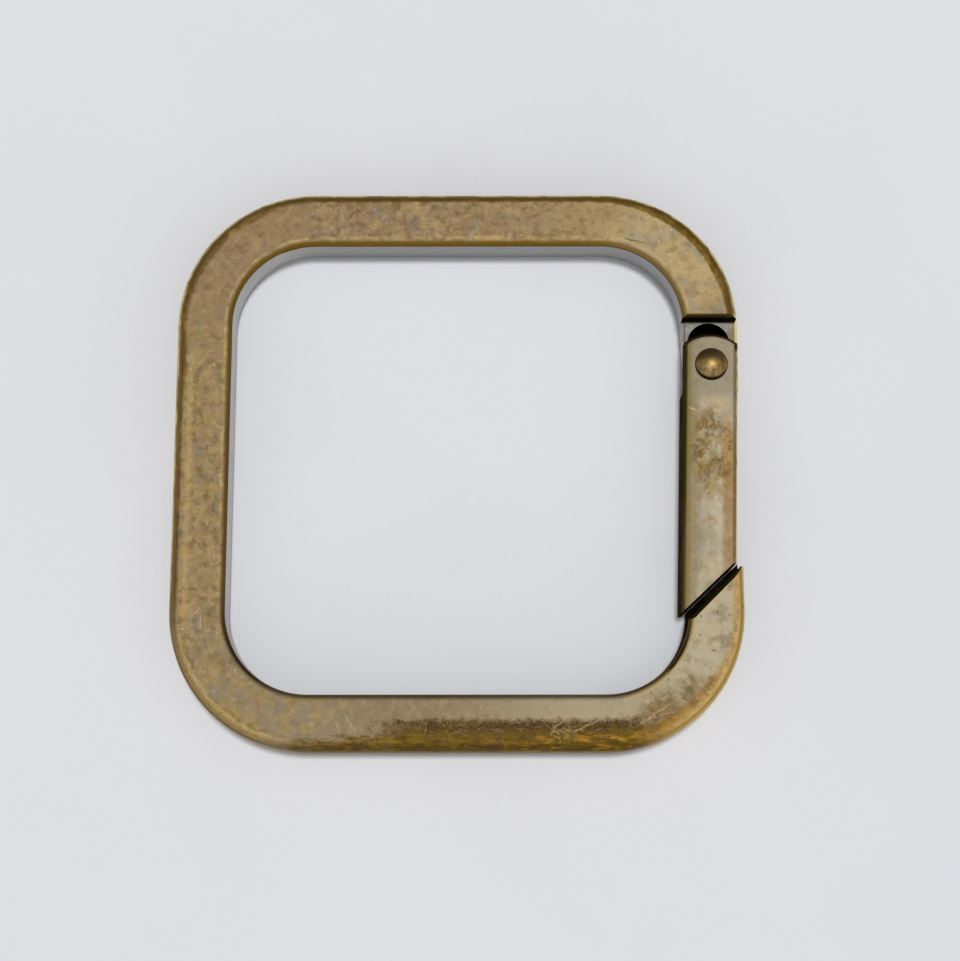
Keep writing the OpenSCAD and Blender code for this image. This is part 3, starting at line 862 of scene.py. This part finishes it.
def tube(name, line, radius, sides):
    """Round closed tube along a line that is never upright."""
    mesh = bmesh.new()
    rings = []
    for i, point in enumerate(line):
        along = (line[min(i + 1, len(line) - 1)] - line[max(i - 1, 0)]).normalized()
        across = along.cross(Vector((0, 0, 1))).normalized()
        upward = across.cross(along)
        ring = []
        for k in range(sides):
            angle = 2 * math.pi * k / sides
            offset = across * math.cos(angle) + upward * math.sin(angle)
            ring.append(mesh.verts.new((point + offset * radius) * MM))
        rings.append(ring)
    for first, second in zip(rings, rings[1:]):
        for k in range(sides):
            after = (k + 1) % sides
            mesh.faces.new((first[k], second[k], second[after], first[after]))
    mesh.faces.new(rings[0])
    mesh.faces.new(list(reversed(rings[-1])))
    bmesh.ops.recalc_face_normals(mesh, faces=mesh.faces)
    for face in mesh.faces:
        face.smooth = len(face.verts) == 4
    data = bpy.data.meshes.new(name)
    mesh.to_mesh(data)
    mesh.free()
    obj = bpy.data.objects.new(name, data)
    bpy.context.scene.collection.objects.link(obj)
    return obj


def make_spring():
    line, coil_low, coil_high = spring_line()
    spring = tube("spring_wire", line, WIRE_R, WIRE_SIDES)
    spring.data.materials.append(spring_paint())
    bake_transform(spring)
    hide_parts("torsion_spring")


def paint_node(name, material):
    data = frame["nodes"][name].data
    data.materials.clear()
    data.materials.append(material)


def make_floor():
    half = FLOOR_SIDE / 2 * MM
    data = bpy.data.meshes.new("floor")
    corners = [(-half, -half, 0), (half, -half, 0), (half, half, 0), (-half, half, 0)]
    data.from_pydata(corners, [], [(0, 1, 2, 3)])
    floor = bpy.data.objects.new("floor", data)
    floor.location.z = -FLOOR_DROP * MM
    floor.data.materials.append(floor_paint())
    bpy.context.scene.collection.objects.link(floor)


def make_light():
    """Soft dome, brighter low down and in front, with one lamp high above."""
    world = bpy.data.worlds.new("studio")
    world.use_nodes = True
    tree = world.node_tree
    background = tree.nodes["Background"]
    coords = tree.nodes.new("ShaderNodeTexCoord")
    parts = tree.nodes.new("ShaderNodeSeparateXYZ")
    level = tree.nodes.new("ShaderNodeMapRange")
    level.interpolation_type = "SMOOTHSTEP"
    for socket, number in zip(level.inputs[1:5], (SKY_LOW, SKY_HIGH, SKY_EDGE, SKY_TOP)):
        socket.default_value = number
    tilt = tree.nodes.new("ShaderNodeMath")
    tilt.operation = "MULTIPLY_ADD"
    tilt.inputs[1].default_value = -SKY_TILT
    tilt.inputs[2].default_value = 1
    strength = tree.nodes.new("ShaderNodeMath")
    strength.operation = "MULTIPLY"
    tree.links.new(coords.outputs["Generated"], parts.inputs[0])
    tree.links.new(parts.outputs[2], level.inputs[0])
    tree.links.new(parts.outputs[1], tilt.inputs[0])
    tree.links.new(level.outputs[0], strength.inputs[0])
    tree.links.new(tilt.outputs[0], strength.inputs[1])
    tree.links.new(strength.outputs[0], background.inputs["Strength"])
    background.inputs["Color"].default_value = (1, 1, 1, 1)
    bpy.context.scene.world = world

    lamp = bpy.data.lights.new("key", "SUN")
    lamp.energy = KEY_STRENGTH
    lamp.angle = KEY_WIDTH
    key = bpy.data.objects.new("key", lamp)
    key.rotation_euler = KEY_TURN
    bpy.context.scene.collection.objects.link(key)


def make_camera():
    data = bpy.data.cameras.new("camera")
    data.sensor_width = SENSOR_WIDTH
    data.lens = FOCAL_PIXELS / IMAGE_SIDE * SENSOR_WIDTH
    data.clip_start = CLIP_NEAR * MM
    data.clip_end = CLIP_FAR * MM
    camera = bpy.data.objects.new("camera", data)
    turn = Euler([math.radians(angle) for angle in CAMERA_TURN], "ZYX").to_matrix().to_4x4()
    camera.matrix_world = turn @ Matrix.Translation(Vector(CAMERA_PLACE) * MM)
    bpy.context.scene.collection.objects.link(camera)
    bpy.context.scene.camera = camera


bpy.context.scene.view_settings.view_transform = "Standard"
make_camera()
make_light()
make_floor()
paint_node("ring_frame", ring_paint())
paint_node("gate", gate_paint())
paint_node("hinge_rivet", rivet_paint())
make_spring()
